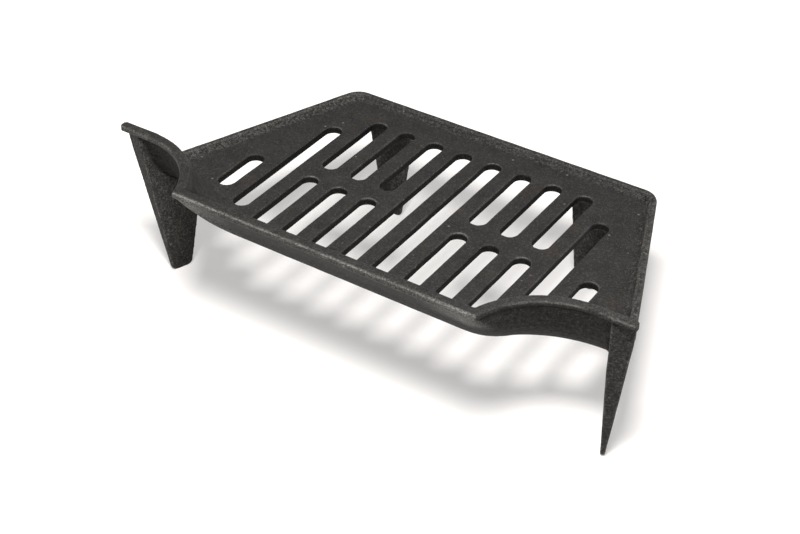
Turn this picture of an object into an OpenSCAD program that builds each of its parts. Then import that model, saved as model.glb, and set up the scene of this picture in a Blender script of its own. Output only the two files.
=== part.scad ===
// Four-legged cast-iron log grate with a scooped front lip.
// Millimetres. Feet stand on z = 0, the front faces -Y, the right side is +X.
// The grate is one casting: its nodes are the natural parts of that casting,
// divided along plain faces so that they seat on each other with no overlap.

/* [Overall size] */
// Width over the two ears
front_width = 387; // [385:0.5:389]
// Depth from the front rail to the back rim
grate_depth = 227; // [225:0.5:229]
// Height of the front rail's top
rail_height = 126; // [124:0.5:128]
// Height of the deck's upper face
deck_height = 85.5; // [84:0.5:87]

/* [Deck and slots] */
// Thickness of the slotted deck
deck_thickness = 6.2; // [5.8:0.1:6.8]
// Distance from one slot to the next
slot_pitch = 24; // [23.8:0.1:24.1]
// Width of each slot at the deck's upper face
slot_width = 12.2; // [11:0.1:13]
// How much each slot wall leans out towards the underside
slot_draft = 0.5; // [0.2:0.1:0.8]
// Width of the cross ties between the front and back slots
tie_width = 13.7; // [12:0.1:15]

/* [Raised rim] */
// Width of the rim at its foot
rim_width = 9; // [8:0.5:10]
// Width of the rim's flat top
rim_top = 5; // [4:0.5:6]
// Height of the rim above the deck
rim_rise = 4; // [3:0.5:5]
// Radius of the rim's rounded outer edge
rim_nose = 1.5; // [1:0.1:2]
// How far the rim's inner face is hollowed
rim_hollow = 0.8; // [0.4:0.1:1]
// Outer radius of the two back corners
back_radius = 14; // [12:0.5:15]

/* [Front rail and lip] */
// Length of the straight middle of the front rail
centre_width = 224; // [223:0.5:225]
// Radius of each hollow wing
wing_radius = 58.4; // [58:0.1:59]
// Width of the rail's flat top along the middle
rail_width = 7; // [6.5:0.1:7.5]
// Width of the rail's flat top round the wings
wing_width = 6.3; // [6:0.1:7]
// Depth of the rail's front edge
rail_edge = 5; // [4.5:0.25:5.5]
// Radius of the rail's rounded front corners
rail_nose = 1.8; // [1.2:0.1:2.2]
// Radius of the rail's two rounded tips, seen from above
tip_radius = 2; // [1:0.25:3]

/* [Legs] */
// Length of a front foot on the floor
front_foot = 16; // [15:0.1:18]
// Length of a front leg's root at the deck
front_root = 42; // [40:0.5:43]
// Length of a rear foot on the floor
rear_foot = 15; // [13:0.5:16]
// Length of a rear leg's root at the deck
rear_root = 36; // [34:0.5:38]
// Thickness of every foot
foot_thick = 3; // [2.8:0.1:4]
// Thickness of a front leg's root
front_thick = 12; // [11:0.25:13]
// Thickness of a rear leg's root
rear_thick = 8.5; // [8:0.25:9.5]

/* [Hidden] */

iron = [0.27, 0.265, 0.26];
fine = 96;
reach = 400;

// levels of the deck and the rail
deck_under = deck_height - deck_thickness;
rail_under = rail_height - rail_edge;

// plan outline: the sides draw in from the ears to the back
front_y = -grate_depth / 2;
back_y = grate_depth / 2;
half_front = front_width / 2;
ear_y = front_y + 42.9;
side_taper = 0.378;
side_angle = atan(side_taper);
corner_y = back_y - back_radius;
function side_x(y) = half_front - side_taper * (y - ear_y);
corner_x = side_x(corner_y) - back_radius / cos(side_angle);

// axis of the two hollow wings
wing_x = centre_width / 2 + 56.7;
wing_y = ear_y - wing_radius;

// fold line where the flat deck turns up into the lip: straight across the
// middle, aslant under the wings and straight again under the ears
fold_y = front_y + 43.5;
fold_x = 81;
fold_slope = 0.473;
fold_end_y = fold_y + fold_slope * (wing_x - fold_x);

// slots: column 1 is next to the middle bar, column 6 is the outermost
half_slot = slot_width / 2;
split_columns = [2, 3, 4];
slot_front = fold_y + 4;
slot_back = back_y - 26;
tie_front = 1.8;
tie_back = tie_front + tie_width;
outer_slot = [fold_y + 15, back_y - 49];
short_slot = [fold_y + 29, 3];
function inner_wall(column) = (column - 0.5) * slot_pitch - half_slot;
function outer_wall(column) = (column - 0.5) * slot_pitch + half_slot;

// lines across the deck where the straight bars begin and end
bars_front = slot_front + half_slot;
bars_back = slot_back - half_slot;
ties_front = tie_front - half_slot;
ties_back = tie_back + half_slot;
outer_front = outer_slot[0] + half_slot;
outer_back = outer_slot[1] - half_slot;
short_front = short_slot[0] + half_slot;
short_back = short_slot[1] - half_slot;

// the rail's back face spreads towards its underside
rail_spread = 3;

// levels of the lip: [height, line of the middle, line of the ear, corner, length of the round]
ear_top_y = ear_y + 5.1;
outer_top = [rail_under, front_y + 1, ear_top_y, 111, 3];
outer_mid = [deck_height + 9.2, front_y + 21, ear_y + 12.2, 109.5, 14];
outer_low = [deck_under, front_y + 37, ear_y + 26.6, 99, 17];
inner_top = [rail_under, front_y + rail_width + rail_spread, ear_y + wing_width + rail_spread, 106.2, 2];
inner_mid = [deck_height + 10.1, front_y + 29.9, ear_y + 19.6, 102, 8];
lip_split = 66;
lip_steps = 8;
corner_steps = 6;
arc_steps = 12;

// side frame of the ears and front legs: x runs back along the tapered side from the ear's tip
rim_start = 20;
front_foot_start = 24.5;
front_root_start = 12;
front_edge_lean = 0.158;
ear_tuck = 1.6;
leg_tuck = 2.3;
foot_tuck = 9.2;
rail_seat = 15;
ear_span = 60;

// rear legs: across from the middle, and in from the back edge
rear_foot_start = 75;
rear_root_start = 67;
rear_leg_inset = 13.5;
foot_round = 3;

// ---- helpers ----

function mix(a, b, t) = a + (b - a) * t;

// curve from a to b that passes m half way along
function curve(a, m, b, t) =
    let (c = 2 * m - (a + b) / 2)
    (1 - t) * (1 - t) * a + 2 * t * (1 - t) * c + t * t * b;

module both_sides() {
    children();
    mirror([1, 0, 0]) children();
}

// the shapes are drawn on the right; the left side is their mirror image
module on_side(side) {
    if (side == "left") mirror([1, 0, 0]) children();
    else children();
}

// ---- deck ----

module half_deck_2d() {
    polygon([
        [-slot_pitch, fold_y],
        [fold_x, fold_y],
        [wing_x, fold_end_y],
        [side_x(fold_end_y), fold_end_y],
        [corner_x + back_radius * cos(side_angle), corner_y + back_radius * sin(side_angle)],
        [corner_x, back_y],
        [-slot_pitch, back_y]
    ]);
    translate([corner_x, corner_y]) circle(back_radius, $fn = fine);
}

// slot cutter with leaning walls and round ends, wider at the underside
module slot(column, from, to) {
    past = 1;
    depth = deck_thickness + 2 * past;
    lean = slot_draft / deck_thickness;
    low = half_slot + lean * (deck_thickness + past);
    high = half_slot - lean * past;
    translate([(column - 0.5) * slot_pitch, 0, deck_under - past]) {
        for (end = [[from + half_slot, 90], [to - half_slot, -90]])
            translate([0, end[0], 0]) rotate([0, 0, end[1]])
                cylinder(h = depth, r1 = low, r2 = high, $fn = fine);
        translate([0, to - half_slot, 0]) rotate([90, 0, 0])
            linear_extrude(to - from - slot_width)
                polygon([[-low, 0], [low, 0], [high, depth], [-high, depth]]);
    }
}

module half_slots() {
    slot(1, slot_front, slot_back);
    for (column = split_columns) {
        slot(column, slot_front, tie_front);
        slot(column, tie_back, slot_back);
    }
    slot(5, outer_slot[0], outer_slot[1]);
    slot(6, short_slot[0], short_slot[1]);
}

// the part of the deck's right half that lies in a plan zone
module half_deck_zone() {
    difference() {
        translate([0, 0, deck_under]) linear_extrude(deck_thickness)
            intersection() {
                half_deck_2d();
                children();
            }
        half_slots();
    }
}

// the part of the whole deck that lies in a plan zone and in its mirror image
module deck_zone() {
    difference() {
        translate([0, 0, deck_under]) linear_extrude(deck_thickness)
            intersection() {
                both_sides() half_deck_2d();
                both_sides() children();
            }
        both_sides() half_slots();
    }
}

module zone(x0, x1, y0, y1) {
    translate([x0, y0]) square([x1 - x0, y1 - y0]);
}

module front_band() {
    color(iron) deck_zone() {
        zone(-slot_pitch, outer_wall(4), fold_y - 1, bars_front);
        zone(outer_wall(4) - 0.1, reach, fold_y - 1, outer_front);
    }
}

module back_band() {
    color(iron) deck_zone() {
        zone(-slot_pitch, outer_wall(4), bars_back, back_y + 1);
        zone(outer_wall(4) - 0.1, reach, outer_back, back_y + 1);
    }
}

module side_plate(side) {
    color(iron) on_side(side) half_deck_zone()
        difference() {
            zone(outer_wall(5), reach, outer_front, outer_back);
            zone(outer_wall(5) - 1, inner_wall(6) + half_slot, short_front, short_back);
        }
}

module cross_tie(side) {
    color(iron) on_side(side) half_deck_zone()
        zone(outer_wall(1), inner_wall(5), ties_front, ties_back);
}

// bar n lies between slot columns n and n + 1
module fire_bar(side, n, from, to) {
    color(iron) on_side(side) half_deck_zone()
        zone(outer_wall(n), inner_wall(n + 1), from, to);
}

module fire_bar_middle() {
    color(iron) deck_zone() zone(-inner_wall(1), inner_wall(1), bars_front, bars_back);
}

// ---- rim ----

// upright section of the rim, its outer face on x = 0; the inner face is a hollow
// curve, steep under the top and nearly flat where it runs out on the deck
module rim_section() {
    foot = rim_width - rim_top;
    chord = sqrt(foot * foot + rim_rise * rim_rise);
    r = (chord * chord / 4 + rim_hollow * rim_hollow) / (2 * rim_hollow);
    out = (r - rim_hollow) / chord;
    past = rim_width + 1;
    difference() {
        union() {
            polygon([[0, 0], [0, rim_rise - rim_nose], [-rim_nose, rim_rise], [-past, rim_rise], [-past, 0]]);
            translate([-rim_nose, rim_rise - rim_nose]) circle(rim_nose, $fn = fine);
        }
        translate([-(rim_top + foot / 2) - out * rim_rise, rim_rise / 2 + out * foot])
            circle(r, $fn = 2 * fine);
    }
}

side_length = (corner_y + back_radius * sin(side_angle) - ear_y) / cos(side_angle);

module rim_side(side) {
    color(iron) on_side(side) difference() {
        at_side() translate([side_length, 0, deck_height]) rotate([90, 0, -90])
            linear_extrude(side_length - rim_start) rim_section();
        ear_space() polygon(concat([[front_y, 0]], inner_curve(ear_station), [[front_y, rail_height + 1]]));
    }
}

module rim_back() {
    color(iron) translate([-corner_x, back_y, deck_height]) rotate([90, 0, 90])
        linear_extrude(2 * corner_x) rim_section();
}

module rim_corner(side) {
    color(iron) on_side(side) translate([corner_x, corner_y, deck_height]) rotate([0, 0, side_angle])
        rotate_extrude(angle = 90 - side_angle, $fn = fine)
            translate([back_radius, 0]) rim_section();
}

// ---- front lip ----

corner_station = corner_steps + 1;
ear_station = corner_station + arc_steps;

// plan point of a lip level at one station: 0 is the middle's end, then round the
// corner, then round the hollow wing as far as the ear
function plan_point(level, station) =
    let (
        rise = level[2] - level[1],
        radius = (pow(wing_x - level[3], 2) + rise * rise) / (2 * rise),
        start = 180 - asin((radius - rise) / radius),
        past_corner = start - level[4] / radius * 180 / PI,
        k = (station - 1) / corner_steps,
        turn = (station - corner_station) / arc_steps,
        angle = mix(past_corner, 90, max(0, turn)),
        on_arc = [wing_x + radius * cos(angle), level[2] - radius + radius * sin(angle)],
        corner = [level[3], level[1]],
        before = [level[3] - level[4], level[1]]
    )
    station == 0 ? [lip_split, level[1]]
    : k < 1 ? (1 - k) * (1 - k) * before + 2 * k * (1 - k) * corner + k * k * on_arc
    : on_arc;

// plan point of the fold at one station; its corner falls on the middle corner station
function fold_point(station) =
    let (
        k = (station - 1) / corner_steps,
        turn = (station - corner_station) / arc_steps,
        round = 8,
        x = station == 0 ? lip_split
            : k < 1 ? mix(fold_x - round, fold_x + round, k)
            : mix(fold_x + round, wing_x, turn)
    )
    [x, fold_y + fold_slope * max(0, x - fold_x)];

function level_point(level, station) = concat(plan_point(level, station), [level[0]]);

// points of the outer face from the rail down, and of the inner face from the fold up
function outer_point(station, t) =
    let (
        top = level_point(outer_top, station),
        middle = level_point(outer_mid, station),
        low = level_point(outer_low, station)
    )
    curve(top, middle, low, t);
function inner_point(station, t) =
    let (
        low = concat(fold_point(station), [deck_height]),
        middle = level_point(inner_mid, station),
        top = level_point(inner_top, station)
    )
    curve(low, middle, top, t);

// closed section of the lip: down the outer face, under the fold, up the inner face
function lip_section(station) = concat(
    [for (i = [0:lip_steps]) outer_point(station, i / lip_steps)],
    [concat(fold_point(station), [deck_under])],
    [for (i = [0:lip_steps]) inner_point(station, i / lip_steps)]
);

// the same faces as side views, where the section runs straight along X
function side_view(points) = [for (p = points) [p[1], p[2]]];
function outer_curve(station) = side_view([for (i = [0:lip_steps]) outer_point(station, i / lip_steps)]);
function inner_curve(station) = side_view([for (i = [0:lip_steps]) inner_point(station, i / lip_steps)]);

module front_lip() {
    color(iron) rotate([90, 0, 90]) linear_extrude(2 * lip_split, center = true)
        polygon(side_view(lip_section(0)));
}

// the section's own faces, paired across from the outer face to the inner face,
// so that two lofts that meet at a bent section seat on each other
function section_faces(n) = concat(
    [for (i = [0:lip_steps - 1]) [i, i + 1, n - 1 - i]],
    [for (i = [0:lip_steps - 1]) [i + 1, n - 2 - i, n - 1 - i]],
    [[lip_steps, lip_steps + 1, lip_steps + 2]]
);

// solid that carries the lip's section from one station to another
module lip_loft(from, to) {
    n = 2 * lip_steps + 3;
    rows = to - from;
    points = [for (station = [from:to]) each lip_section(station)];
    faces = concat(
        section_faces(n),
        [for (f = section_faces(n)) [rows * n + f[2], rows * n + f[1], rows * n + f[0]]],
        [for (row = [0:rows - 1], i = [0:n - 1])
            [row * n + i, (row + 1) * n + i, row * n + (i + 1) % n]],
        [for (row = [0:rows - 1], i = [0:n - 1])
            [row * n + (i + 1) % n, (row + 1) * n + i, (row + 1) * n + (i + 1) % n]]
    );
    polyhedron(points, faces, convexity = 6);
}

// the turn from the straight lip into the hollow wing
module lip_corner(side) {
    color(iron) on_side(side) lip_loft(0, corner_station);
}

// hollow wing: the section is carried round the arc
module wing_lip(side) {
    color(iron) on_side(side) lip_loft(corner_station, ear_station);
}

// frame with x running back along the right side from the ear's tip, and y inboard
module at_side() {
    translate([half_front, ear_y, 0]) rotate([0, 0, 90 + side_angle]) children();
}

// a side view carried straight along X through the ear
module ear_space() {
    translate([wing_x - 20, 0, 0]) rotate([90, 0, 90]) linear_extrude(ear_span) children();
}

// the ear's outer end is tucked in under the rail
module ear(side) {
    color(iron) on_side(side) intersection() {
        translate([wing_x, 0, 0]) rotate([90, 0, 90]) linear_extrude(ear_span)
            polygon(side_view(lip_section(ear_station)));
        at_side() translate([-20, 0, 0]) rotate([90, 0, 90]) linear_extrude(2 * ear_span)
            polygon([
                [ear_tuck, 0],
                [ear_tuck, deck_under],
                [0, rail_under - rail_seat],
                [0, rail_height],
                [ear_span, rail_height],
                [ear_span, 0]
            ]);
    }
}

// ---- front rail ----

// section of the rail with a rounded front edge, its front on x = 0
module rail_section(width) {
    polygon([
        [rail_nose, 0],
        [width + rail_spread, 0],
        [width, rail_edge],
        [rail_nose, rail_edge],
        [0, rail_edge - rail_nose],
        [0, rail_nose]
    ]);
    for (y = [rail_nose, rail_edge - rail_nose])
        translate([rail_nose, y]) circle(rail_nose, $fn = fine);
}

// plan zone between the two mitres, where the middle meets the wings
mitre_x = wing_x - sqrt(wing_radius * wing_radius - pow(front_y - wing_y, 2));
mitre_slope = (inner_top[3] - mitre_x) / (rail_width + rail_spread);
module middle_zone() {
    front = 2;
    back = 30;
    x0 = mitre_x - front * mitre_slope;
    x1 = mitre_x + back * mitre_slope;
    translate([0, 0, rail_under - 1]) linear_extrude(rail_edge + 2)
        polygon([[-x0, front_y - front], [x0, front_y - front], [x1, front_y + back], [-x1, front_y + back]]);
}

module front_rail() {
    color(iron) intersection() {
        translate([0, front_y, rail_under]) rotate([90, 0, 90])
            linear_extrude(2 * mitre_x, center = true) rail_section(rail_width);
        middle_zone();
    }
}

module wing_rail(side) {
    past_mitre = 76;
    color(iron) on_side(side) difference() {
        translate([wing_x, wing_y, rail_under]) rotate([0, 0, 90])
            rotate_extrude(angle = past_mitre, $fn = fine)
                translate([wing_radius, 0]) rail_section(wing_width);
        middle_zone();
    }
}

// the rail runs on over the ear to a square end with rounded corners
module ear_rail(side) {
    run = half_front - wing_x;
    r = tip_radius;
    color(iron) on_side(side) translate([wing_x, ear_y, rail_under]) intersection() {
        rotate([90, 0, 90]) linear_extrude(run) rail_section(wing_width);
        translate([0, 0, -1]) linear_extrude(rail_edge + 2) union() {
            square([run - r, ear_span]);
            translate([0, r]) square([run, wing_width - 2 * r]);
            for (y = [r, wing_width - r])
                translate([run - r, y]) circle(r, $fn = fine);
        }
    }
}

// ---- legs ----

// flat blade along x: the side view tapers down to a foot with rounded corners,
// and the end view tapers from the root's thickness to the foot's
module blade(foot_start, foot_length, root_start, root_length, top, front, end_view) {
    r = foot_round;
    foot_end = foot_start + foot_length;
    side_top = [[root_start + root_length, deck_under], [root_start + root_length, top], front];
    intersection() {
        rotate([90, 0, 0]) linear_extrude(reach, center = true) intersection() {
            polygon(concat([[foot_start, 0], [foot_end, 0]], side_top));
            union() {
                polygon(concat([
                    [foot_start - 1, r],
                    [foot_start + r, 0],
                    [foot_end - r, 0],
                    [foot_end + 1, r]
                ], side_top));
                translate([foot_start + r, r]) circle(r, $fn = fine);
                translate([foot_end - r, r]) circle(r, $fn = fine);
            }
        }
        rotate([90, 0, 90]) linear_extrude(reach, center = true) polygon(end_view);
    }
}

// the front legs run up the ears, along the tapered sides, as far as the rail
module leg_front(side) {
    height = rail_under;
    front_top = [front_root_start - front_edge_lean * (rail_under - deck_under), height];
    end_view = [
        [foot_tuck, 0],
        [foot_tuck + foot_thick, 0],
        [leg_tuck + front_thick, deck_under],
        [leg_tuck + front_thick, height],
        [0, height],
        [0, height - rail_seat],
        [leg_tuck, deck_under]
    ];
    behind_ear = [[back_y, deck_under], [back_y, rail_under + 1], [ear_top_y, rail_under + 1]];
    color(iron) on_side(side) difference() {
        at_side()
            blade(front_foot_start, front_foot, front_root_start, front_root, height, front_top, end_view);
        ear_space() polygon(concat(outer_curve(ear_station), behind_ear));
    }
}

// the rear legs hang under the back band, square to the sides
module leg_rear(side) {
    front_top = [rear_root_start, deck_under];
    end_view = [
        [-foot_thick / 2, 0],
        [foot_thick / 2, 0],
        [rear_thick / 2, deck_under],
        [-rear_thick / 2, deck_under]
    ];
    color(iron) on_side(side) translate([0, back_y - rear_leg_inset, 0])
        blade(rear_foot_start, rear_foot, rear_root_start, rear_root, deck_under, front_top, end_view);
}

// ---- assembly ----

front_band();
back_band();
cross_tie("left");  // cross_tie_left
cross_tie("right");  // cross_tie_right
fire_bar_middle();
fire_bar("left", 1, bars_front, ties_front);  // fire_bar_left_1_front
fire_bar("left", 1, ties_back, bars_back);  // fire_bar_left_1_back
fire_bar("left", 2, bars_front, ties_front);  // fire_bar_left_2_front
fire_bar("left", 2, ties_back, bars_back);  // fire_bar_left_2_back
fire_bar("left", 3, bars_front, ties_front);  // fire_bar_left_3_front
fire_bar("left", 3, ties_back, bars_back);  // fire_bar_left_3_back
fire_bar("left", 4, outer_front, ties_front);  // fire_bar_left_4_front
fire_bar("left", 4, ties_back, outer_back);  // fire_bar_left_4_back
fire_bar("right", 1, bars_front, ties_front);  // fire_bar_right_1_front
fire_bar("right", 1, ties_back, bars_back);  // fire_bar_right_1_back
fire_bar("right", 2, bars_front, ties_front);  // fire_bar_right_2_front
fire_bar("right", 2, ties_back, bars_back);  // fire_bar_right_2_back
fire_bar("right", 3, bars_front, ties_front);  // fire_bar_right_3_front
fire_bar("right", 3, ties_back, bars_back);  // fire_bar_right_3_back
fire_bar("right", 4, outer_front, ties_front);  // fire_bar_right_4_front
fire_bar("right", 4, ties_back, outer_back);  // fire_bar_right_4_back
fire_bar("left", 5, short_front, short_back);  // fire_bar_left_5
fire_bar("right", 5, short_front, short_back);  // fire_bar_right_5
side_plate("left");  // side_plate_left
side_plate("right");  // side_plate_right
rim_side("left");  // rim_left
rim_side("right");  // rim_right
rim_back();
rim_corner("left");  // rim_corner_left
rim_corner("right");  // rim_corner_right
front_lip();
lip_corner("left");  // lip_corner_left
lip_corner("right");  // lip_corner_right
wing_lip("left");  // wing_lip_left
wing_lip("right");  // wing_lip_right
ear("left");  // ear_left
ear("right");  // ear_right
front_rail();
wing_rail("left");  // wing_rail_left
wing_rail("right");  // wing_rail_right
ear_rail("left");  // ear_rail_left
ear_rail("right");  // ear_rail_right
leg_front("left");  // leg_front_left
leg_front("right");  // leg_front_right
leg_rear("left");  // leg_rear_left
leg_rear("right");  // leg_rear_right
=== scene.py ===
import heapq
import math

import bmesh
import bpy
import numpy as np
from mathutils import Matrix, Vector, noise
from mathutils.bvhtree import BVHTree
from mathutils.kdtree import KDTree


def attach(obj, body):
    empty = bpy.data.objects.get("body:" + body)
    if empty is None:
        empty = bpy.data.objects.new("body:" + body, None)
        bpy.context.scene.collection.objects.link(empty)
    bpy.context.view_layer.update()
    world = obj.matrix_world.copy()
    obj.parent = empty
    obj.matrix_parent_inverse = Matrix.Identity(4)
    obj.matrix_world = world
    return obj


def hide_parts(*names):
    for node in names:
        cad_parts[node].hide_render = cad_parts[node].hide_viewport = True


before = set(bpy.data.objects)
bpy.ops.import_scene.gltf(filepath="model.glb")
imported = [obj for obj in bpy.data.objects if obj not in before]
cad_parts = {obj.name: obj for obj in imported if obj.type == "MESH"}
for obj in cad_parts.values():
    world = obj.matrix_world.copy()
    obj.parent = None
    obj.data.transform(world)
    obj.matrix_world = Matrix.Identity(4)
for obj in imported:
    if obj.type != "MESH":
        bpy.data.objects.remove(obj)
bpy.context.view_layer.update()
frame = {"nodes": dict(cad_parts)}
mm = 0.001
nodes = frame["nodes"]
print("casting loaded in", len(nodes), "parts")


# sRGB hex text as the linear colour that the shaders take
def linearColour(hexText):
    parts = [int(hexText[i:i + 2], 16) / 255 for i in (1, 3, 5)]
    return [p / 12.92 if p <= 0.04045 else ((p + 0.055) / 1.055) ** 2.4 for p in parts] + [1.0]


# settings are the node's own properties, or else the values of its inputs
def addNode(tree, kind, settings=None, links=None):
    node = tree.nodes.new(kind)
    for name, value in (settings or {}).items():
        if isinstance(name, str) and hasattr(node, name):
            setattr(node, name, value)
        else:
            node.inputs[name].default_value = value
    for name, source in (links or {}).items():
        tree.links.new(source, node.inputs[name])
    return node


# camera: where the photograph was taken from, in millimetres and degrees
photoView = {
    "place": (450.2, -724.4, 679.0),
    "azimuth": 32.51,
    "elevation": 36.67,
    "roll": 1.095,
    "lens": 69.93,
    "sensor": 36.0,
    "nearest": 10,
}


def placeCamera():
    azimuth, elevation, roll = (math.radians(photoView[k]) for k in ("azimuth", "elevation", "roll"))
    back = Vector((
        math.sin(azimuth) * math.cos(elevation),
        -math.cos(azimuth) * math.cos(elevation),
        math.sin(elevation),
    ))
    level = Vector((math.cos(azimuth), math.sin(azimuth), 0))
    upright = back.cross(level)
    right = math.cos(roll) * level + math.sin(roll) * upright
    up = math.cos(roll) * upright - math.sin(roll) * level
    camera = bpy.data.objects.new("photo_camera", bpy.data.cameras.new("photo_camera"))
    camera.data.lens = photoView["lens"]
    camera.data.sensor_width = photoView["sensor"]
    camera.data.clip_start = photoView["nearest"] * mm
    turn = Matrix((right, up, back)).transposed().to_4x4()
    camera.matrix_world = Matrix.Translation(Vector(photoView["place"]) * mm) @ turn
    bpy.context.collection.objects.link(camera)
    bpy.context.scene.camera = camera


# studio: one softbox over the camera's shoulder and a white sweep that rises behind the grate
studio = {
    "softboxPlace": (230, -460, 985),
    "softboxAim": (0, 0, 60),
    "softboxSize": 240,
    "softboxWatts": 22.0,
    "roomLevel": 0.30,
    "sweepSide": (0.55, 0.45, 0.70),
    "sweepBand": (-0.6, 0.9),  # the lean to that side where the room is darkest and brightest
    "darkSide": 0.15,
    "floorColour": "#F3F0EE",  # as it throws light back
    "floorShown": "#C3C0BE",  # as it is seen, so that the soft shadows keep their tones
    "glowColour": "#FFFDFB",
    "floorGlow": 0.455,
    "floorSize": 6000,
    "whiteFrom": (200, 500),  # the glow grows between these distances and is white beyond
}


# rays that show the background: the camera's own, and those off or through the object
def seenDirectly(tree, path):
    mirrored = addNode(tree, "ShaderNodeMath", {"operation": "MAXIMUM"},
                       {0: path.outputs["Is Glossy Ray"], 1: path.outputs["Is Transmission Ray"]})
    return addNode(tree, "ShaderNodeMath", {"operation": "MAXIMUM"},
                   {0: mirrored.outputs[0], 1: path.outputs["Is Camera Ray"]}).outputs[0]


# matt white paper; where it is seen directly it also glows, more the further it is from the
# grate, and so runs into plain white
def makePaper():
    material = bpy.data.materials.new("white_paper")
    material.use_nodes = True
    tree = material.node_tree
    tree.nodes.clear()
    seen = seenDirectly(tree, addNode(tree, "ShaderNodeLightPath"))
    tone = addNode(tree, "ShaderNodeMix", {
        "data_type": "RGBA",
        6: linearColour(studio["floorColour"]),
        7: linearColour(studio["floorShown"]),
    }, {0: seen})
    paper = addNode(tree, "ShaderNodeBsdfDiffuse", None, {"Color": tone.outputs[2]})
    place = addNode(tree, "ShaderNodeTexCoord").outputs["Object"]
    distance = addNode(tree, "ShaderNodeVectorMath", {"operation": "LENGTH"}, {0: place})
    level = addNode(tree, "ShaderNodeMapRange", {
        "From Min": studio["whiteFrom"][0] * mm,
        "From Max": studio["whiteFrom"][1] * mm,
        "To Min": studio["floorGlow"],
    }, {"Value": distance.outputs["Value"]})
    strength = addNode(tree, "ShaderNodeMath", {"operation": "MULTIPLY"},
                       {0: seen, 1: level.outputs[0]})
    glow = addNode(tree, "ShaderNodeEmission", {"Color": linearColour(studio["glowColour"])},
                   {"Strength": strength.outputs[0]})
    both = addNode(tree, "ShaderNodeAddShader", None, {0: paper.outputs[0], 1: glow.outputs[0]})
    addNode(tree, "ShaderNodeOutputMaterial", None, {"Surface": both.outputs[0]})
    return material


def makeFloor():
    bm = bmesh.new()
    bmesh.ops.create_grid(bm, x_segments=1, y_segments=1, size=studio["floorSize"] / 2 * mm)
    mesh = bpy.data.meshes.new("studio_floor")
    bm.to_mesh(mesh)
    bm.free()
    floor = bpy.data.objects.new("studio_floor", mesh)
    bpy.context.collection.objects.link(floor)
    mesh.materials.append(makePaper())


def lightStudio():
    lamp = bpy.data.lights.new("softbox", "AREA")
    lamp.shape = "SQUARE"
    lamp.size = studio["softboxSize"] * mm
    lamp.energy = studio["softboxWatts"]
    box = bpy.data.objects.new("softbox", lamp)
    place = Vector(studio["softboxPlace"]) * mm
    aim = Vector(studio["softboxAim"]) * mm
    box.location = place
    box.rotation_euler = (aim - place).to_track_quat("-Z", "Y").to_euler()
    bpy.context.collection.objects.link(box)


# the room lights the grate softly and more from one side, as reflections show too; the camera
# sees it plain white
def makeRoom():
    world = bpy.data.worlds.new("white_room")
    bpy.context.scene.world = world
    world.use_nodes = True
    tree = world.node_tree
    tree.nodes.clear()
    path = addNode(tree, "ShaderNodeLightPath")
    direction = addNode(tree, "ShaderNodeTexCoord").outputs["Generated"]
    facing = addNode(tree, "ShaderNodeVectorMath", {"operation": "DOT_PRODUCT", 1: studio["sweepSide"]},
                     {0: direction})
    sweep = addNode(tree, "ShaderNodeMapRange", {
        "From Min": studio["sweepBand"][0],
        "From Max": studio["sweepBand"][1],
        "To Min": studio["darkSide"],
    }, {"Value": facing.outputs["Value"]})
    room = addNode(tree, "ShaderNodeMath", {"operation": "MULTIPLY", 1: studio["roomLevel"]},
                   {0: sweep.outputs[0]})
    shown = addNode(tree, "ShaderNodeMath", {"operation": "MAXIMUM"},
                    {0: sweep.outputs[0], 1: path.outputs["Is Camera Ray"]})
    level = addNode(tree, "ShaderNodeMix", {"data_type": "FLOAT"},
                    {0: seenDirectly(tree, path), 2: room.outputs[0], 3: shown.outputs[0]})
    backdrop = addNode(tree, "ShaderNodeBackground", {"Color": (1, 1, 1, 1)}, {"Strength": level.outputs[0]})
    addNode(tree, "ShaderNodeOutputWorld", None, {"Surface": backdrop.outputs[0]})
    bpy.context.scene.view_settings.view_transform = "Standard"


placeCamera()
makeFloor()
lightStudio()
makeRoom()
print("camera, floor and softbox placed")

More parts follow.
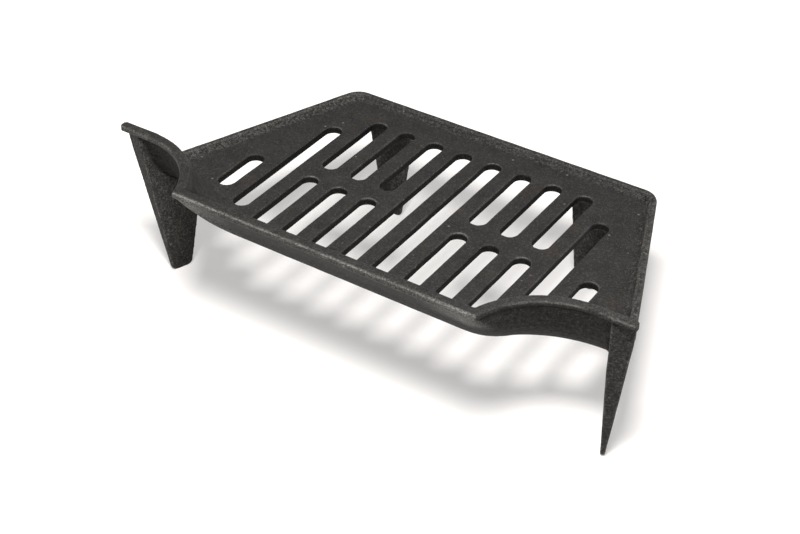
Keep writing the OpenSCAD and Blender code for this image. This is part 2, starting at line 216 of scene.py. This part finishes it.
# finish: sand-cast grey iron under blacking, with a trace of rust; sizes in millimetres
castIron = {
    "baseColour": "#1B1A19",
    "cloudColour": "#242322",
    "speckColour": "#63615D",
    # pale bare iron of nicks and wear, also used for painted highlights
    "wornAndHighlightColour": "#807E7A",
    "rustColour": "#4A3527",
    # the dark of the pits, and of the painted shade in corners, slot walls and undersides
    "pitAndShadeColour": "#0E0E0D",
    "noises": {  # size, detail and roughness
        "grain": (0.9, 5.0, 0.65),
        "fleck": (2.2, 3.0, 0.6),
        "cloud": (14.0, 4.0, 0.6),
        "rust": (26.0, 5.0, 0.7),
    },
    "spots": {"nick": 13.0, "pit": 4.5},
    "masks": {  # what it follows, between which values, its levels at these, and what multiplies it
        "clouds": ("cloud", (0.35, 0.65), (0.0, 1.0), None),
        "nicks": ("nick", (0.03, 0.08), (0.5, 0.0), None),
        "coarseSpecks": ("coarse", (0.0, 1.0), (0.2, 0.75), None),
        "specks": ("grain", (0.48, 0.75), (0.0, 1.0), "coarseSpecks"),
        "coarseFlecks": ("coarse", (0.0, 1.0), (0.25, 1.0), None),
        "wholeFlecks": ("fleck", (0.51, 0.62), (0.0, 1.0), "coarseFlecks"),
        "flecks": ("grain", (0.35, 0.65), (0.0, 0.5), "wholeFlecks"),
        "rusty": ("rust", (0.58, 0.74), (0.0, 0.14), None),
        "pits": ("pit", (0.07, 0.15), (0.45, 0.0), None),
        "paleWearAndHighlight": ("grain", (0.38, 0.62), (0.15, 1.0), "wearAndHighlight"),
        "roughness": ("paleWearAndHighlight", (0.0, 1.0), (0.60, 0.42), None),
        # less shine where the painted shade and the mottle lie
        "shine": ("shadeAndMottle", (0.0, 1.0), (0.09, 0.0), None),
        "grainHeight": ("coarse", (0.0, 1.0), (0.05 * mm, 0.16 * mm), None),
    },
    "layers": {  # the colour of each mask, from the lowest layer up
        "nicks": "wornAndHighlightColour",
        "specks": "speckColour",
        "flecks": "speckColour",
        "rusty": "rustColour",
        "pits": "pitAndShadeColour",
        # painted shade, with the dark mottle of the coarse skin
        "shadeAndMottle": "pitAndShadeColour",
        # pale wear on the edges together with painted highlights
        "paleWearAndHighlight": "wornAndHighlightColour",
    },
}


# a dull charcoal skin with the sand's grain, cloudy patches, small pits, painted shade in the inside
# corners and under things, and a little rust; places that get rubbed show paler bare iron, and some front
# edges carry painted highlights
def makeCastIron():
    material = bpy.data.materials.new("sand_cast_iron")
    material.use_nodes = True
    tree = material.node_tree
    tree.nodes.clear()
    place = addNode(tree, "ShaderNodeTexCoord").outputs["Object"]
    perMetre = 1 / mm
    masks = {}
    for name, (size, detail, roughness) in castIron["noises"].items():
        masks[name] = addNode(tree, "ShaderNodeTexNoise", {
            "Scale": perMetre / size, "Detail": detail, "Roughness": roughness,
        }, {"Vector": place}).outputs[0]
    for name, size in castIron["spots"].items():
        masks[name] = addNode(tree, "ShaderNodeTexVoronoi", {
            "feature": "F1", "Scale": perMetre / size, "Randomness": 1.0,
        }, {"Vector": place}).outputs["Distance"]
    for name in ("coarse", "wearAndHighlight", "shadeAndMottle"):
        masks[name] = addNode(tree, "ShaderNodeAttribute", {"attribute_name": name}).outputs["Fac"]
    for name, (source, band, levels, times) in castIron["masks"].items():
        masks[name] = addNode(tree, "ShaderNodeMapRange", {
            "From Min": band[0], "From Max": band[1], "To Min": levels[0], "To Max": levels[1],
        }, {"Value": masks[source]}).outputs[0]
        if times:
            masks[name] = addNode(tree, "ShaderNodeMath", {"operation": "MULTIPLY", "use_clamp": True},
                                  {0: masks[name], 1: masks[times]}).outputs[0]

    # cloudy blacking, and the other layers over it
    mix = addNode(tree, "ShaderNodeMix", {
        "data_type": "RGBA",
        6: linearColour(castIron["baseColour"]),
        7: linearColour(castIron["cloudColour"]),
    }, {0: masks["clouds"]})
    for name, colour in castIron["layers"].items():
        mix = addNode(tree, "ShaderNodeMix", {"data_type": "RGBA", 7: linearColour(castIron[colour])},
                      {0: masks[name], 6: mix.outputs[2]})

    relief = addNode(tree, "ShaderNodeMath", {"operation": "SUBTRACT"}, {0: masks["grain"], 1: masks["pits"]})
    skin = addNode(tree, "ShaderNodeBump", {"Strength": 1.0},
                   {"Height": relief.outputs[0], "Distance": masks["grainHeight"]})
    shader = addNode(tree, "ShaderNodeBsdfPrincipled", {"Metallic": 0.0}, {
        "Base Color": mix.outputs[2],
        "Roughness": masks["roughness"],
        "Specular IOR Level": masks["shine"],
        "Normal": skin.outputs[0],
    })
    addNode(tree, "ShaderNodeOutputMaterial", None, {"Surface": shader.outputs[0]})
    return material


castIronSkin = makeCastIron()
print("cast iron finish made")

# how the foundry leaves the casting, lengths in millimetres; a noise is its size and its seed,
# a rise is where something starts and over what span it grows to the full
castSkin = {
    "weld": 0.004,
    "overlap": 0.02,  # each part swells by this much, so that neighbours join
    "cell": 0.7,
    "easingStep": 0.5,
    "easing": 3,
    "easingSpared": 0.6,  # the share that the rail is spared
    "limbRounds": 1,
    "outerRounds": 2,
    "hollowRise": (0.03, 0.03),  # a point's dip below its neighbours
    "filletRounds": 26,
    "filletSpread": 2,
    "filletSpared": 0.9,
    "frontRise": (0.25, 0.35),
    "footing": 6,  # the feet stay flat, and the skin is fully uneven from this height
    "swell": 0.12,
    "swellNoise": (16.0, 1),
    "beadHeight": 0.14,
    "beadNoise": (2.6, 2),
    "beadSpared": 0.9,
    "patchNoise": (16.0, 3),
    "mottleNoise": (1.5, 4),
    "seedSteps": (17.3, 9.1, 4.7),
    "turnIn": 1.0,
    "oneSided": 0.5,
    "shortRing": 60,
}


def solidCopy(name, node):
    bm = bmesh.new()
    bm.from_mesh(node.data)
    bmesh.ops.transform(bm, matrix=node.matrix_world, verts=bm.verts)
    bmesh.ops.remove_doubles(bm, verts=bm.verts, dist=castSkin["weld"] * mm)
    bm.normal_update()
    moves = [v.normal * castSkin["overlap"] * mm for v in bm.verts]
    for vert, move in zip(bm.verts, moves):
        vert.co += move
    mesh = bpy.data.meshes.new(name + "_solid")
    bm.to_mesh(mesh)
    bm.free()
    return bpy.data.objects.new(name + "_solid", mesh)


def applied(thing):
    graph = bpy.context.evaluated_depsgraph_get()
    mesh = bpy.data.meshes.new_from_object(thing.evaluated_get(graph))
    thing.modifiers.clear()
    return mesh


# all the parts as one closed skin of even cells
def wholeSkin():
    solids = [solidCopy(name, node) for name, node in nodes.items()]
    for solid in solids:
        bpy.context.collection.objects.link(solid)
    whole = solids[0]
    for solid in solids[1:]:
        join = whole.modifiers.new("join", "BOOLEAN")
        join.operation = "UNION"
        join.solver = "MANIFOLD"
        join.object = solid
        whole.data = applied(whole)
    cells = whole.modifiers.new("cells", "REMESH")
    cells.mode = "VOXEL"
    cells.voxel_size = castSkin["cell"] * mm
    skin = applied(whole)
    for solid in solids:
        bpy.data.objects.remove(solid)
    return skin


def vectors(items, name):
    values = np.empty(len(items) * 3, dtype=np.float32)
    items.foreach_get(name, values)
    return values.reshape(-1, 3).astype(np.float64)


def wholeNumbers(items, name, each=1):
    values = np.empty(len(items) * each, dtype=np.int32)
    items.foreach_get(name, values)
    return values


def neighbourMean(values, edges, degree):
    if values.ndim > 1:
        return np.stack([neighbourMean(column, edges, degree) for column in values.T], axis=1)
    a, b = edges[:, 0], edges[:, 1]
    total = np.bincount(a, values[b], len(values)) + np.bincount(b, values[a], len(values))
    return total / degree


# each round moves every value some of the way to the mean of its neighbours
def eased(values, edges, degree, rounds, weight=1.0):
    if values.ndim > 1 and not np.isscalar(weight):
        weight = weight[:, None]
    for _ in range(rounds):
        step = neighbourMean(values, edges, degree) - values
        values = values + castSkin["easingStep"] * weight * step
    return values


def skinNormals(skin, places):
    skin.vertices.foreach_set("co", places.astype(np.float32).ravel())
    skin.update()
    return vectors(skin.vertex_normals, "vector")


# which node each point of the skin belongs to: the one whose surface is nearest
def nearestNodes(points):
    corners, triangles, owner = [], [], []
    for index, node in enumerate(nodes.values()):
        node.data.calc_loop_triangles()
        start = len(corners)
        corners += [node.matrix_world @ v.co for v in node.data.vertices]
        triangles += [[start + i for i in t.vertices] for t in node.data.loop_triangles]
        owner += [index] * len(node.data.loop_triangles)
    tree = BVHTree.FromPolygons(corners, triangles)
    return np.array([owner[tree.find_nearest(p)[2]] for p in points.tolist()])


def noiseField(points, name):
    size, seed = castSkin[name]
    shift = Vector([seed * step for step in castSkin["seedSteps"]])
    return np.array([noise.noise(Vector(p) / (size * mm) + shift) for p in points.tolist()])


def share(values):
    return np.clip(values, 0, 1)


def rising(values, rise):
    return share((values - rise[0]) / rise[1])


# full at the middle and nothing beyond the reach
def near(values, spot):
    return share(1 - np.abs(values - spot[0]) / spot[1])


# how coarse the skin is, by a word in the name of the node; the deck is the smoothest
coarseness = {
    "rim_back": 0.55,
    "rim_right": 0.7,
    "rim": 1.0,
    "leg": 0.55,
    "ear": 0.4,
    "rail": 0.2,
    "lip": 0.35,
    "deck": 0.15,
}


def coarsenessOf(name):
    return next((level for word, level in coarseness.items() if word in name), coarseness["deck"])


# where the skin is paled by wear and painted highlight, or darkened by painted shade and mottle; a rise is as
# in castSkin, and a spot is a middle and a reach; the lip's top and corner, the pitted end and the sides are
# in millimetres
wearAndPaintedLight = {
    "facingRise": (0.2, 0.4),
    "edgeRise": (0.02, 0.04),
    "arrisSpot": (0.6, 0.25),
    "arrisSpared": 0.4,  # the share that the wings are spared
    "arrisPatches": 2,
    "arrisMiddle": 0.5,
    "lipTopRise": (104, 10),
    "lipCornerSpot": (100, 32),
    "sideReach": 80,
    "frost": (0.3, 0.7),  # pale coarse skin under the rail, all along and more by the corners
    "frostWearAndHighlight": (0.08, 0.35),
    "patches": (0.3, 2),
    "treadRise": (0.75, 0.25),
    "treadLift": 0.03,
    "leftWingHighlightLift": 0.16,
    "wingFrontBelow": 0.7,
    "coarseEdgeRub": 0.3,
    "legEdgeRub": 0.35,
    "deckEdgeRub": 0.15,
    "deckFrontHighlight": 0.6,
    "pittedRise": (70, 25),
    "pittedShadeSpared": 0.7,
    "pittedMottle": 1.5,
    "mottle": 1.6,
    "mottleRub": 0.25,
    "mottleSoot": 0.5,
    "mottleMost": 1.5,
    "foldShade": 0.55,
    "cornerDepth": 14,
    "cornerShade": (0.3, 0.3),  # everywhere, and added on the right
    "wallTilt": 1.5,
    "wallShade": 0.65,
    "rightWingShade": 0.5,
    "underTilt": 2,
    "underShade": 0.5,
    "mostShadeAndMottle": 0.95,
}

# the rounds of easing that soften each mask
softening = {
    "rail": 2,
    "leg": 6,
    "outer": 6,
    "fold": 3,
    "fillet": 8,
    "bead": 3,
    "edge": 2,
    "pitted": 10,
    "corner": 12,
    "coarse": 20,
    "grain": 4,
    "wearAndHighlight": 1,
}


# the skin in its final shape, its normals, and the looks that drive the finish
def shapedSkin():
    skin = wholeSkin()
    places = vectors(skin.vertices, "co")
    edges = wholeNumbers(skin.edges, "vertices", 2).reshape(-1, 2)
    degree = np.bincount(edges.ravel(), minlength=len(places))
    owner = nearestNodes(places)

    def ofNodes(test):
        return np.array([test(name) for name in nodes], dtype=float)[owner]

    def soft(values, name):
        return eased(values, edges, degree, softening[name])

    # each point's normal, and how far it dips below its neighbours
    def bend(points):
        normals = skinNormals(skin, points)
        return normals, ((neighbourMean(points, edges, degree) - points) * normals).sum(1) / mm

    coarse = ofNodes(coarsenessOf)
    isLeg = ofNodes(lambda name: "leg" in name)
    isRail = ofNodes(lambda name: "rail" in name)
    isDeck = ofNodes(lambda name: coarsenessOf(name) == coarseness["deck"])
    isWing = ofNodes(lambda name: "wing_rail" in name or "ear_rail" in name)
    isLip = ofNodes(lambda name: name.startswith(("front_lip", "lip_corner")))
    isWall = ofNodes(lambda name: "lip" in name)
    isPitted = ofNodes(lambda name: name == "lip_corner_left")
    softRail = soft(isRail, "rail")

    # every edge loses its sharpness: the rail least, then the deck and the lip, the legs most
    weight = 1 - castSkin["easingSpared"] * softRail
    places = eased(places, edges, degree, castSkin["easing"], weight)
    places = eased(places, edges, degree, castSkin["limbRounds"], soft(isLeg, "leg"))
    weight = 1 - soft(isRail + isDeck + isWall, "outer")
    places = eased(places, edges, degree, castSkin["outerRounds"], weight)

    # inside corners get a fillet
    hollow = bend(places)[1]
    inner = rising(hollow, castSkin["hollowRise"])
    fold = soft(inner, "fold")
    weight = share(soft(inner, "fillet") * castSkin["filletSpread"])
    weight = weight * (1 - castSkin["filletSpared"] * softRail)
    places = eased(places, edges, degree, castSkin["filletRounds"], weight)

    # the mould's slow unevenness, and lumps along the front of the rail
    normals = skinNormals(skin, places)
    height = places[:, 2] / mm
    front = rising(-normals[:, 1], castSkin["frontRise"])
    nearTop = rising(height, wearAndPaintedLight["lipTopRise"])
    swell = noiseField(places, "swellNoise") * castSkin["swell"]
    bead = soft(isRail * front * (1 - castSkin["beadSpared"] * isWing), "bead")
    lumps = noiseField(places, "beadNoise") * castSkin["beadHeight"] * bead
    footing = share(height / castSkin["footing"])
    places = places + normals * ((swell + lumps) * footing * mm)[:, None]
    normals, hollow = bend(places)

    # where on the casting a point lies, and which way it faces
    across = places[:, 0] / mm
    rightSide = share(across / wearAndPaintedLight["sideReach"])
    leftSide = share(-across / wearAndPaintedLight["sideReach"])
    nearCorner = near(np.abs(across), wearAndPaintedLight["lipCornerSpot"])
    facing = rising(-normals[:, 1], wearAndPaintedLight["facingRise"])
    sharp = rising(-soft(hollow, "edge"), wearAndPaintedLight["edgeRise"])
    patchy = share(wearAndPaintedLight["patches"][0] + wearAndPaintedLight["patches"][1] * noiseField(places, "patchNoise"))
    # pale front of the centre rail's bead and of the lip near its top: coarse pale skin, with a painted
    # highlight on the bead
    frost = isLip * front * nearTop * (wearAndPaintedLight["frost"][0] + wearAndPaintedLight["frost"][1] * nearCorner)
    frost = share(bead + frost)

    # rubbed pale: the rail's arris, the wings, the front of the rail and lip, and the edges
    # painted highlight: a thin pale line where the rail's front edge leans up and forward, broken into
    # patches and weaker on the wings
    arrisHighlight = near(normals[:, 2], wearAndPaintedLight["arrisSpot"]) * front * isRail
    arrisHighlight = arrisHighlight * (1 - wearAndPaintedLight["arrisSpared"] * isWing)
    arrisHighlight = arrisHighlight * share(wearAndPaintedLight["arrisPatches"] * patchy + wearAndPaintedLight["arrisMiddle"] * (1 - isWing))
    # the top of the right wing rail is made a little paler
    tread = wearAndPaintedLight["treadLift"] * isWing * rightSide * rising(normals[:, 2], wearAndPaintedLight["treadRise"])
    # painted highlight on the front band of the left wing rail, below its top
    leftWingHighlight = wearAndPaintedLight["leftWingHighlightLift"] * isWing * leftSide * front * (normals[:, 2] < wearAndPaintedLight["wingFrontBelow"])
    wearAndHighlight = arrisHighlight + (tread + leftWingHighlight) + (wearAndPaintedLight["frostWearAndHighlight"][0] + wearAndPaintedLight["frostWearAndHighlight"][1] * nearCorner) * frost
    wearAndHighlight = wearAndHighlight + wearAndPaintedLight["coarseEdgeRub"] * sharp * coarse
    # the deck's edges: wear all round, and a painted highlight on those that face front
    deckEdgeWearAndHighlight = sharp * isDeck * (wearAndPaintedLight["deckFrontHighlight"] * facing + wearAndPaintedLight["deckEdgeRub"])
    wearAndHighlight = share(wearAndHighlight + (wearAndPaintedLight["legEdgeRub"] * sharp * isLeg + deckEdgeWearAndHighlight) * patchy)

    # the lip's left corner is as coarse as the rim, and coarse skin is mottled
    pitted = soft(isPitted * facing, "pitted") * rising(-across, wearAndPaintedLight["pittedRise"])
    coarse = np.maximum(coarse, pitted)
    mottle = wearAndPaintedLight["mottle"] * noiseField(places, "mottleNoise") * (coarse + wearAndPaintedLight["pittedMottle"] * pitted)
    wearAndHighlight = share(wearAndHighlight - wearAndPaintedLight["mottleRub"] * np.clip(mottle, -1, 0))

    # painted shade: inside corners and folds, darker on the right, the walls of the slots, the front of the
    # right wing, undersides; the mottle adds random dark patches
    corner = soft(share(hollow), "corner") * wearAndPaintedLight["cornerDepth"]
    corner = corner * (wearAndPaintedLight["cornerShade"][0] + wearAndPaintedLight["cornerShade"][1] * rightSide)
    wall = isDeck * share(1 - np.abs(normals[:, 2]) * wearAndPaintedLight["wallTilt"])
    under = np.clip(-normals[:, 2] * wearAndPaintedLight["underTilt"], 0, wearAndPaintedLight["underShade"])
    under = under * (1 - wearAndPaintedLight["pittedShadeSpared"] * pitted)
    shadeAndMottle = wearAndPaintedLight["mottleSoot"] * np.clip(mottle, 0, wearAndPaintedLight["mottleMost"]) + wearAndPaintedLight["foldShade"] * fold + corner
    shadeAndMottle = shadeAndMottle + wearAndPaintedLight["wallShade"] * wall * (1 - sharp * facing)
    shadeAndMottle = shadeAndMottle + wearAndPaintedLight["rightWingShade"] * isWing * front * rightSide + under * (1 - frost)
    looks = {
        "coarse": soft(np.maximum(soft(coarse, "coarse"), frost), "grain"),
        "wearAndHighlight": soft(wearAndHighlight, "wearAndHighlight"),
        "shadeAndMottle": np.clip(shadeAndMottle, 0, wearAndPaintedLight["mostShadeAndMottle"]),
    }
    return skin, places, normals, looks


# the edges at which a piece stops, walked round in order
def borderLoops(faces, onBorder):
    following = {}
    for face in faces:
        if not onBorder.isdisjoint(face):
            for i, start in enumerate(face):
                following[(face[i - 1], start)] = face[(i + 1) % len(face)]
    free = {side for side in following if (side[1], side[0]) not in following
            and side[0] in onBorder and side[1] in onBorder}
    loops = []
    while free:
        side = free.pop()
        first = side[0]
        loop = [first]
        while True:
            corner = side[1]
            ahead = following[side]
            while (ahead, corner) in following:
                ahead = following[(ahead, corner)]
            side = (corner, ahead)
            if side not in free:
                break
            free.discard(side)
            loop.append(corner)
        if corner != first:
            loop.append(corner)
        loops.append(loop)
    return loops


# fills a ring of points with triangles, always cutting off the shortest corner first
def filledRing(ring, points):
    count = len(ring)
    before = [(i - 1) % count for i in range(count)]
    after = [(i + 1) % count for i in range(count)]

    def corner(i):
        low, high = before[i], after[i]
        span = math.dist(points[ring[low]], points[ring[high]])
        return (span if ring[low] != ring[high] else math.inf, i, low, high)

    heap = [corner(i) for i in range(count)]
    heapq.heapify(heap)
    triangles = []
    gone = set()
    while count - len(gone) > 3:
        _, i, low, high = heapq.heappop(heap)
        if i in gone or before[i] != low or after[i] != high:
            continue
        triangles.append([ring[low], ring[i], ring[high]])
        gone.add(i)
        after[low], before[high] = high, low
        heapq.heappush(heap, corner(low))
        heapq.heappush(heap, corner(high))
    return triangles + [[ring[i] for i in range(count) if i not in gone]]


# two rings joined into one at the place where they come nearest
def joinedRings(one, two, points):
    tree = KDTree(len(two))
    for i, p in enumerate(two):
        tree.insert(points[p], i)
    tree.balance()
    found = [tree.find(points[p]) for p in one]
    here = min(range(len(one)), key=lambda i: found[i][2])
    there = found[here][1]
    return one[here:] + one[:here + 1] + two[there:] + two[:there + 1]


# a piece is closed where the next one carries on: its border turns in under the skin,
# and the rings that this leaves are filled; where the piece's front and back lie apart,
# as on the lip, their two rings are filled together; faces and points grow by what is added,
# and the result says which point of the skin each point came from
def closedPiece(faces, points, inward, onBorder):
    source = list(range(len(points)))
    apart = castSkin["oneSided"] * castSkin["turnIn"] * mm
    rings = []
    oneSided = []
    for loop in borderLoops(faces, onBorder):
        ring = []
        for p in loop:
            ring.append(len(points))
            source.append(p)
            points.append([points[p][i] + inward[p][i] for i in range(3)])
        for i in range(len(loop)):
            faces.append([loop[i], loop[i - 1], ring[i - 1], ring[i]])
        lean = Vector([sum(inward[p][i] for p in loop) / len(loop) for i in range(3)])
        rings.append(ring[::-1])
        if lean.length > apart and len(ring) > castSkin["shortRing"]:
            oneSided.append((lean, rings[-1]))
    if len(oneSided) == 2 and oneSided[0][0].dot(oneSided[1][0]) < 0:
        one, two = oneSided[0][1], oneSided[1][1]
        rings = [ring for ring in rings if ring is not one and ring is not two]
        rings.append(joinedRings(one, two, points))
    for ring in rings:
        faces += filledRing(ring, points)
    return source


def placePiece(name, faces, points, normals, looks):
    mesh = bpy.data.meshes.new(name + "_cast")
    mesh.from_pydata(points, [], faces)
    for look, values in looks.items():
        layer = mesh.attributes.new(look, "FLOAT", "POINT")
        layer.data.foreach_set("value", values.astype(np.float32))
    mesh.shade_smooth()
    mesh.normals_split_custom_set_from_vertices(normals.tolist())
    mesh.materials.append(castIronSkin)
    piece = bpy.data.objects.new(name + "_cast", mesh)
    bpy.context.collection.objects.link(piece)
    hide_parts(name)
    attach(piece, "root")


# the skin divided again among the nodes, with one closed piece for each
def castPieces():
    skin, places, normals, looks = shapedSkin()
    print("skin shaped, with", len(skin.polygons), "faces")
    loops = wholeNumbers(skin.loops, "vertex_index")
    starts = wholeNumbers(skin.polygons, "loop_start")
    totals = wholeNumbers(skin.polygons, "loop_total")
    centres = np.add.reduceat(places[loops], starts) / totals[:, None]
    owner = nearestNodes(centres)
    ownerOfCorner = np.repeat(owner, totals)
    lowest = np.full(len(places), len(nodes))
    highest = np.full(len(places), -1)
    np.minimum.at(lowest, loops, ownerOfCorner)
    np.maximum.at(highest, loops, ownerOfCorner)
    shared = lowest != highest
    inward = -normals * castSkin["turnIn"] * mm
    biggest = 0
    for index, name in enumerate(nodes):
        chosen = np.flatnonzero(owner == index)
        used = np.unique(loops[ownerOfCorner == index])
        number = np.full(len(places), -1)
        number[used] = np.arange(len(used))
        faces = [number[loops[starts[f]:starts[f] + totals[f]]].tolist() for f in chosen]
        onBorder = set(np.flatnonzero(shared[used]).tolist())
        points = places[used].tolist()
        used = used[closedPiece(faces, points, inward[used].tolist(), onBorder)]
        ownLooks = {look: values[used] for look, values in looks.items()}
        placePiece(name, faces, points, normals[used], ownLooks)
        biggest = max(biggest, len(faces))
    print("largest piece has", biggest, "faces")


castPieces()
print("casting finished")
